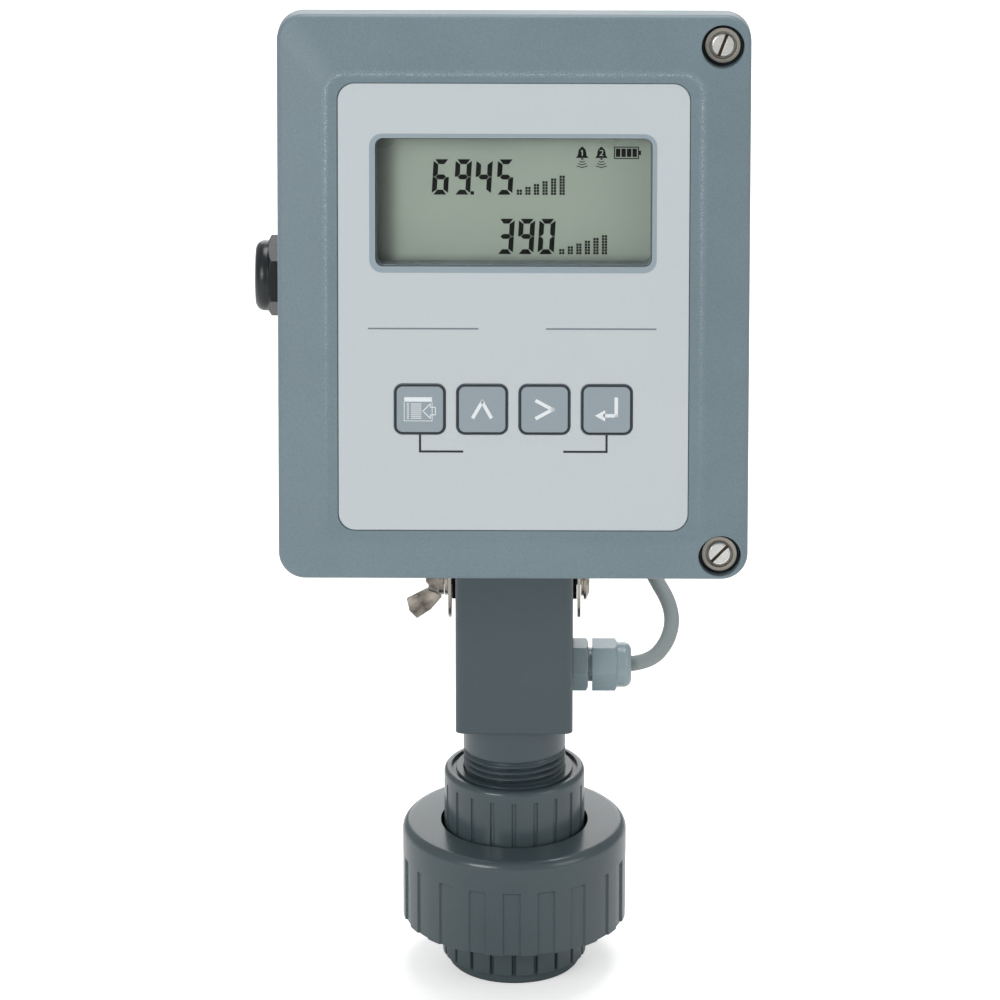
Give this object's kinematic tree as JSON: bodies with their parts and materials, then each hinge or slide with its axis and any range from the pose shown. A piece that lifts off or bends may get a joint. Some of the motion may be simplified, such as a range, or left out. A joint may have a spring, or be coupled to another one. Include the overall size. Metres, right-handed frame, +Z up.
{
  "type": "flow monitor head",
  "caption": "Display housing with a hinged cover, membrane keys and a tilting clamp bracket on a square stem above a ribbed pipe union, joined by a short sensor cable.",
  "frame": {"origin": "centre of the union's bottom face, where the pipe thread opens", "axes": "+Z up along the stem, -Y towards the front of the display, +X to the viewer's right"},
  "size_m": [0.1557, 0.1163, 0.3433],
  "materials": {
    "cover_plastic": "fine speckled moulded texture, blue-grey",
    "block_plastic": "smooth dark grey",
    "union_plastic": "smooth dark grey, semi-gloss",
    "gland_plastic": "light grey moulded",
    "black_plastic": "black moulded",
    "cable_jacket": "smooth grey jacket",
    "black_rubber": "matte black",
    "stainless": "bright formed stainless steel",
    "sleeve_metal": "turned metal",
    "brass_insert": "knurled brass",
    "label_film": "printed polyester film, light grey",
    "key_film": "grey key with a dark edge and a white symbol",
    "window_clear": "clear",
    "lcd_green": "grey-green liquid crystal display",
    "board_green": "solder mask",
    "terminal_plastic": "green terminal plastic",
    "battery_wrap": "plain dark sleeve",
    "gasket_foam": "closed-cell foam"
  },
  "bodies": {
    "lower_union": {"union_lower_body": "union_plastic", "union_o_ring": "black_rubber"},
    "nut": {"union_nut": "union_plastic"},
    "stem": {"union_tailpiece": "union_plastic", "threaded_nipple": "block_plastic", "adapter_block": "block_plastic", "stem_gland_body": "gland_plastic", "stem_gland_nut": "gland_plastic", "stem_gland_seal": "black_rubber", "swivel_bolt": "stainless", "rubber_washers": "black_rubber", "bolt_washer": "stainless", "sensor_cable": "cable_jacket"},
    "clamp_washer": {"lock_washer": "stainless"},
    "clamp_nut": {"wing_nut": "stainless"},
    "housing": {"swivel_bracket": "stainless", "bracket_screws": "stainless", "housing_base": "cover_plastic", "screw_inserts": "brass_insert", "hinge_pins": "stainless", "side_gland_body": "black_plastic", "side_gland_nut": "black_plastic", "side_gland_plug": "black_rubber", "side_gland_locknut": "black_plastic", "rear_gland_body": "gland_plastic", "rear_gland_nut": "gland_plastic", "rear_gland_seal": "black_rubber", "rear_gland_locknut": "gland_plastic", "battery": "battery_wrap", "battery_holder": "black_plastic"},
    "cover": {"front_cover": "cover_plastic", "cover_gasket": "gasket_foam", "front_label": "label_film", "display_window": "window_clear", "lcd_frame": "black_plastic", "lcd_glass": "lcd_green", "main_board": "board_green", "board_screws": "stainless", "terminal_block": "terminal_plastic", "key_switches": "black_plastic", "screw_ferrules": "sleeve_metal"},
    "menu_key": {"key_menu": "key_film"},
    "up_key": {"key_up": "key_film"},
    "right_key": {"key_right": "key_film"},
    "enter_key": {"key_enter": "key_film"},
    "lower_clip": {"screw_clip_lower": "stainless"},
    "lower_screw": {"cover_screw_lower": "stainless"},
    "upper_clip": {"screw_clip_upper": "stainless"},
    "upper_screw": {"cover_screw_upper": "stainless"}
  },
  "joints": [
    {"name": "union_nut_turn", "type": "hinge", "parent": "lower_union", "child": "nut", "pos_m": [0, 0, 0.035], "axis": [0, 0, 1], "range_deg": [0, 90]},
    {"name": "head_turn", "type": "hinge", "parent": "lower_union", "child": "stem", "pos_m": [0, 0, 0.035], "axis": [0, 0, 1], "continuous": true},
    {"name": "wing_nut_travel", "type": "slide", "parent": "stem", "child": "clamp_washer", "axis": [-1, 0, 0], "range_m": [0, 0.0015]},
    {"name": "wing_nut_turn", "type": "hinge", "parent": "clamp_washer", "child": "clamp_nut", "pos_m": [-0.028, 0, 0.1366], "axis": [-1, 0, 0], "range_deg": [0, 540.1]},
    {"name": "housing_tilt", "type": "hinge", "parent": "stem", "child": "housing", "pos_m": [0, 0, 0.1366], "axis": [1, 0, 0], "range_deg": [-70, 45], "deforming": ["sensor_cable"]},
    {"name": "cover_hinge", "type": "hinge", "parent": "housing", "child": "cover", "pos_m": [-0.07, -0.04835, 0.25286], "axis": [0, -0.1736, -0.9848], "range_deg": [0, 100]},
    {"name": "menu_key_press", "type": "slide", "parent": "cover", "child": "menu_key", "axis": [0, 0.9848, -0.1736], "range_m": [0, 0.0004], "stiffness_N_per_m": 1000, "springref_m": -0.0004},
    {"name": "up_key_press", "type": "slide", "parent": "cover", "child": "up_key", "axis": [0, 0.9848, -0.1736], "range_m": [0, 0.0004], "stiffness_N_per_m": 1000, "springref_m": -0.0004},
    {"name": "right_key_press", "type": "slide", "parent": "cover", "child": "right_key", "axis": [0, 0.9848, -0.1736], "range_m": [0, 0.0004], "stiffness_N_per_m": 1000, "springref_m": -0.0004},
    {"name": "enter_key_press", "type": "slide", "parent": "cover", "child": "enter_key", "axis": [0, 0.9848, -0.1736], "range_m": [0, 0.0004], "stiffness_N_per_m": 1000, "springref_m": -0.0004},
    {"name": "lower_screw_lift", "type": "slide", "parent": "cover", "child": "lower_clip", "axis": [0, -0.9848, 0.1736], "range_m": [0, 0.0056]},
    {"name": "lower_screw_turn", "type": "hinge", "parent": "lower_clip", "child": "lower_screw", "pos_m": [0.0649, -0.07258, 0.17417], "axis": [0, -0.9848, 0.1736], "range_deg": [0, 2880.1]},
    {"name": "upper_screw_lift", "type": "slide", "parent": "cover", "child": "upper_clip", "axis": [0, -0.9848, 0.1736], "range_m": [0, 0.0056]},
    {"name": "upper_screw_turn", "type": "hinge", "parent": "upper_clip", "child": "upper_screw", "pos_m": [0.0649, -0.04452, 0.33332], "axis": [0, -0.9848, 0.1736], "range_deg": [0, 2880.1]}
  ],
  "couplings": [
    {"joint": "wing_nut_turn", "follows": "wing_nut_travel", "rad_per_m": 6283.2},
    {"joint": "lower_screw_turn", "follows": "lower_screw_lift", "rad_per_m": 8976},
    {"joint": "upper_screw_turn", "follows": "upper_screw_lift", "rad_per_m": 8976}
  ]
}
